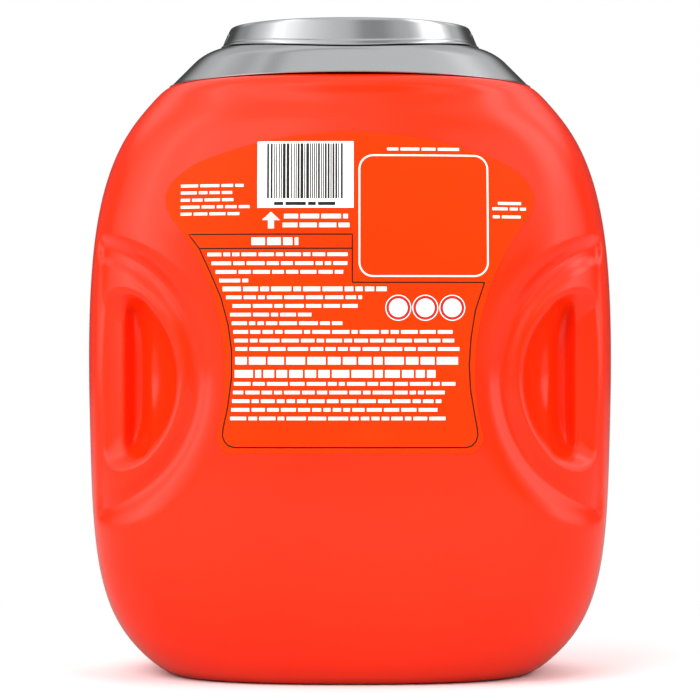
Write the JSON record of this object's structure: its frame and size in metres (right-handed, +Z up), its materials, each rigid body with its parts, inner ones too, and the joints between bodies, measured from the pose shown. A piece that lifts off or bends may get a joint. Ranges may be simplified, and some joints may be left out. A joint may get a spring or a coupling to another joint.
{
  "type": "laundry pod tub",
  "caption": "Large moulded tub with sculpted side grips, a domed silver collar and a flip-up lid with squeeze latches.",
  "frame": {"origin": "middle of the base on the surface that the tub stands on", "axes": "+Z up, +X across the width, the printed back towards -Y and the front towards +Y"},
  "size_m": [0.2096, 0.1594, 0.2603],
  "materials": {
    "tub": "moulded HDPE, soft gloss",
    "collar": "silver moulded PP, satin",
    "lid": "silver moulded PP, polished",
    "latch": "silver moulded PP, satin",
    "panel": "printed film, soft gloss"
  },
  "bodies": {
    "tub": {"tub": "tub", "collar": "collar", "back_panel": "panel"},
    "lid": {"lid": "lid"},
    "latch_right": {"latch_right": "latch"},
    "latch_left": {"latch_left": "latch"}
  },
  "joints": [
    {"name": "lid_hinge", "type": "hinge", "parent": "tub", "child": "lid", "pos_m": [0, -0.0541, 0.2489], "axis": [1, 0, 0], "range_deg": [0, 105]},
    {"name": "latch_right_press", "type": "slide", "parent": "lid", "child": "latch_right", "axis": [-1, 0, 0], "range_m": [0, 0.0016], "stiffness_N_per_m": 500},
    {"name": "latch_left_press", "type": "slide", "parent": "lid", "child": "latch_left", "axis": [1, 0, 0], "range_m": [0, 0.0016], "stiffness_N_per_m": 500}
  ]
}
